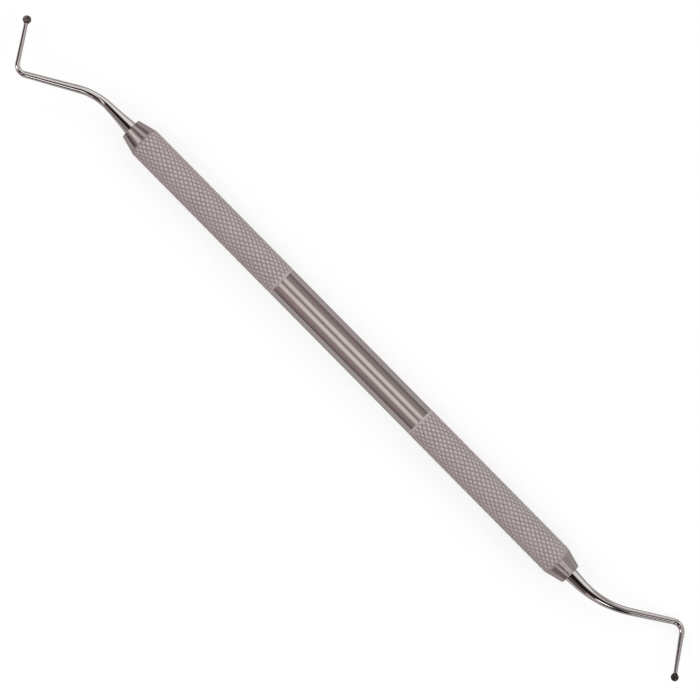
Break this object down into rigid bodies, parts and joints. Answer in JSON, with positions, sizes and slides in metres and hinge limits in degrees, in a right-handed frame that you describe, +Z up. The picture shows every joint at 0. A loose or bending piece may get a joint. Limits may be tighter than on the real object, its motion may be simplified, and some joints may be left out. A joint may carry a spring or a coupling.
{
  "type": "dental excavator",
  "caption": "Double-ended hand instrument with a cupped disc blade on each bent shank and a diamond-knurled round handle.",
  "frame": {"origin": "under the middle of the box around the instrument, on the surface it lies on, within half a millimetre of the middle of the handle", "axes": "+X along the handle towards the right working end, +Y towards the side on which that end's elbow touches the surface, +Z up"},
  "size_m": [0.1678, 0.0156, 0.006],
  "materials": {
    "satin_steel": "satin, turned and knurled",
    "polished_steel": "mirror polished"
  },
  "bodies": {
    "root": {"handle": "satin_steel", "working_end_left": "polished_steel", "working_end_right": "polished_steel"}
  },
  "joints": []
}
